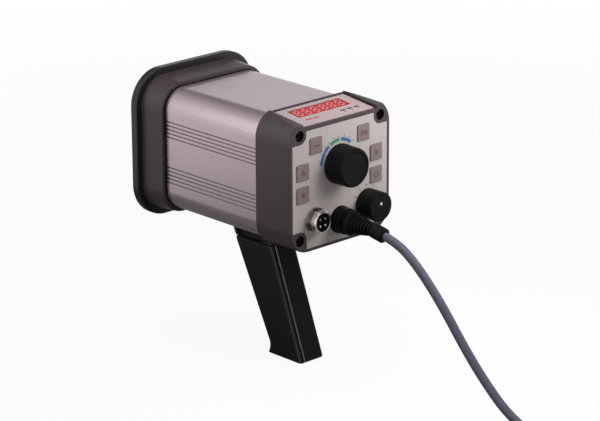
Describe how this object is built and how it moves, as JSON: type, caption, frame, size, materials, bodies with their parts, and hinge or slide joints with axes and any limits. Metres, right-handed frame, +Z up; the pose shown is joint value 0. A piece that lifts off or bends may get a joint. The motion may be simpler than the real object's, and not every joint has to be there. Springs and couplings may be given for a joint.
{
  "type": "xenon stroboscope",
  "caption": "Hand-held xenon stroboscope: square tube with flared lamp rim, sloped display, dial, keys and knob on its rear panel, raked pistol grip and trailing mains cord.",
  "frame": {"origin": "mouth of the tripod thread, in the middle of the grip's foot", "axes": "+X to the right of the person holding it, +Y the way the lamp shines, +Z up"},
  "size_m": [0.1591, 0.4719, 0.1976],
  "materials": {
    "body_paint": "satin paint",
    "cover_plastic": "fine moulded texture",
    "rim_plastic": "moulded",
    "gasket_rubber": "dull",
    "overlay_film": "satin printed film",
    "label_film": "satin printed film",
    "key_plastic": "satin",
    "black_plastic": "satin moulded",
    "white_paint": "paint",
    "display_filter": "polished",
    "digit_plastic": "smooth",
    "board_laminate": "solder mask",
    "connector_metal": "bright nickel",
    "contact_metal": "gilded",
    "steel": "blackened",
    "reflector_mirror": "polished",
    "clear_glass": "polished",
    "ceramic": "glazed",
    "capacitor_can": "bright",
    "core_iron": "laminated",
    "copper_wire": "enamelled",
    "bulkhead_metal": "mill finish",
    "grip_plastic": "moulded",
    "strap_rubber": "dull",
    "bush_brass": "turned",
    "plug_rubber": "moulded",
    "cord_jacket": "smooth jacket"
  },
  "bodies": {
    "housing": {"body_tube": "body_paint", "rear_cover": "cover_plastic", "front_bezel": "cover_plastic", "front_rim": "rim_plastic", "bezel_gasket": "gasket_rubber", "panel_overlay": "overlay_film", "display_label": "label_film", "display_window": "display_filter", "display_digits": "digit_plastic", "display_board": "board_laminate", "panel_board": "board_laminate", "main_board": "board_laminate", "key_switches": "black_plastic", "dial_encoder": "steel", "rotary_switch": "black_plastic", "socket_shell": "connector_metal", "socket_insert": "black_plastic", "socket_pins": "contact_metal", "socket_nut": "steel", "power_inlet": "black_plastic", "inlet_nut": "black_plastic", "plug_ring": "black_plastic", "power_plug": "plug_rubber", "strain_relief": "plug_rubber", "rear_screws": "steel", "front_screws": "steel", "front_window": "clear_glass", "reflector": "reflector_mirror", "xenon_tube": "clear_glass", "tube_electrodes": "steel", "lamp_base": "ceramic", "lamp_socket": "ceramic", "lamp_bulkhead": "bulkhead_metal", "board_standoffs": "steel", "flash_capacitor": "capacitor_can", "transformer_core": "core_iron", "transformer_winding": "copper_wire", "grip_left": "grip_plastic", "grip_right": "grip_plastic", "grip_strap": "strap_rubber", "grip_saddle": "grip_plastic", "saddle_screws": "steel", "grip_screws": "steel", "tripod_bush": "bush_brass", "cord_lead": "cord_jacket", "cord_coil": "cord_jacket", "cord_tail": "cord_jacket", "mains_plug": "plug_rubber", "mains_pins": "contact_metal"},
    "dial": {"main_dial": "black_plastic", "dial_shaft": "steel"},
    "selector": {"selector_knob": "black_plastic", "selector_dot": "white_paint", "selector_shaft": "steel"},
    "key_left_upper_body": {"key_left_upper": "key_plastic"},
    "key_left_middle_body": {"key_left_middle": "key_plastic"},
    "key_left_lower_body": {"key_left_lower": "key_plastic"},
    "key_right_upper_body": {"key_right_upper": "key_plastic"},
    "key_right_middle_body": {"key_right_middle": "key_plastic"},
    "key_right_lower_body": {"key_right_lower": "key_plastic"}
  },
  "joints": [
    {"name": "dial_turn", "type": "hinge", "parent": "housing", "child": "dial", "pos_m": [-0.0013, -0.056, 0.1535], "axis": [0, 1, 0], "continuous": true},
    {"name": "selector_turn", "type": "hinge", "parent": "housing", "child": "selector", "pos_m": [0.02521, -0.056, 0.1192], "axis": [0, 1, 0], "range_deg": [-60, 60]},
    {"name": "key_left_upper_press", "type": "slide", "parent": "housing", "child": "key_left_upper_body", "axis": [0, 1, 0], "range_m": [0, 0.0005], "stiffness_N_per_m": 1000},
    {"name": "key_left_middle_press", "type": "slide", "parent": "housing", "child": "key_left_middle_body", "axis": [0, 1, 0], "range_m": [0, 0.0005], "stiffness_N_per_m": 1000},
    {"name": "key_left_lower_press", "type": "slide", "parent": "housing", "child": "key_left_lower_body", "axis": [0, 1, 0], "range_m": [0, 0.0005], "stiffness_N_per_m": 1000},
    {"name": "key_right_upper_press", "type": "slide", "parent": "housing", "child": "key_right_upper_body", "axis": [0, 1, 0], "range_m": [0, 0.0005], "stiffness_N_per_m": 1000},
    {"name": "key_right_middle_press", "type": "slide", "parent": "housing", "child": "key_right_middle_body", "axis": [0, 1, 0], "range_m": [0, 0.0005], "stiffness_N_per_m": 1000},
    {"name": "key_right_lower_press", "type": "slide", "parent": "housing", "child": "key_right_lower_body", "axis": [0, 1, 0], "range_m": [0, 0.0005], "stiffness_N_per_m": 1000}
  ]
}
